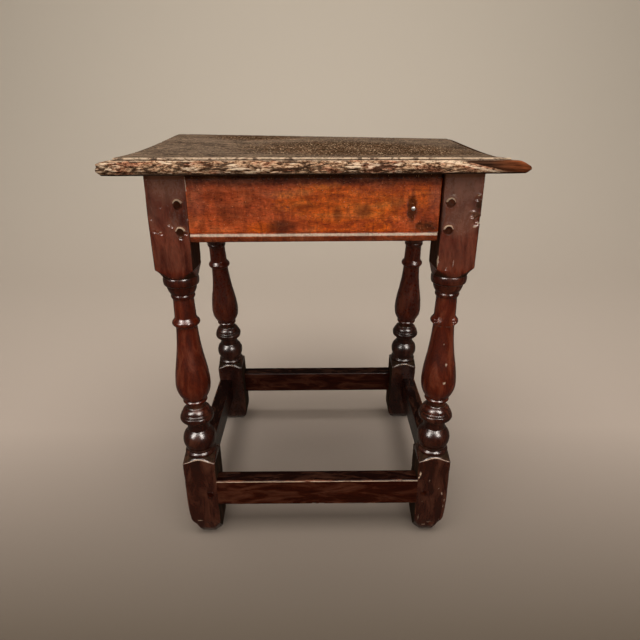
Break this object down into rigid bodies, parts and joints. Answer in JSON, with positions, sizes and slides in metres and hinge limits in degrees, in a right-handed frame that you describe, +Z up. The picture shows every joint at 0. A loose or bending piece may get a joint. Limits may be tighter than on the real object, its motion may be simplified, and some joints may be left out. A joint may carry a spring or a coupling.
{
  "type": "joint stool",
  "caption": "Joined stool with turned, splayed legs, a moulded board seat, aprons and low stretchers, held by pegged mortise and tenon joints.",
  "frame": {"origin": "on the floor, under the middle of the stool", "axes": "+Z up; -Y is the front, the long side in the picture; +X along the seat, to the right seen from the front"},
  "size_m": [0.46, 0.3294, 0.546],
  "materials": {
    "leg_wood": "dark red-brown aged oak, waxed and rubbed to a deep gloss",
    "apron_wood": "amber to red-brown aged oak, waxed, darker towards its ends",
    "stretcher_wood": "near-black aged oak, waxed, with rubbed and chipped edges",
    "seat_wood": "grey-brown worn oak, dry and speckled, with a raw eroded edge",
    "peg_wood": "dark oak end grain, waxed",
    "nail_iron": "old wrought iron, rubbed bright on its head"
  },
  "bodies": {
    "root": {"front_left_leg": "leg_wood", "front_right_leg": "leg_wood", "back_left_leg": "leg_wood", "back_right_leg": "leg_wood", "front_apron": "apron_wood", "back_apron": "apron_wood", "left_apron": "apron_wood", "right_apron": "apron_wood", "front_stretcher": "stretcher_wood", "back_stretcher": "stretcher_wood", "left_stretcher": "stretcher_wood", "right_stretcher": "stretcher_wood", "seat_top": "seat_wood", "front_apron_pegs": "peg_wood", "back_apron_pegs": "peg_wood", "left_apron_pegs": "peg_wood", "right_apron_pegs": "peg_wood", "front_stretcher_pegs": "peg_wood", "back_stretcher_pegs": "peg_wood", "left_stretcher_pegs": "peg_wood", "right_stretcher_pegs": "peg_wood", "seat_pegs": "peg_wood", "front_apron_nail": "nail_iron"}
  },
  "joints": []
}
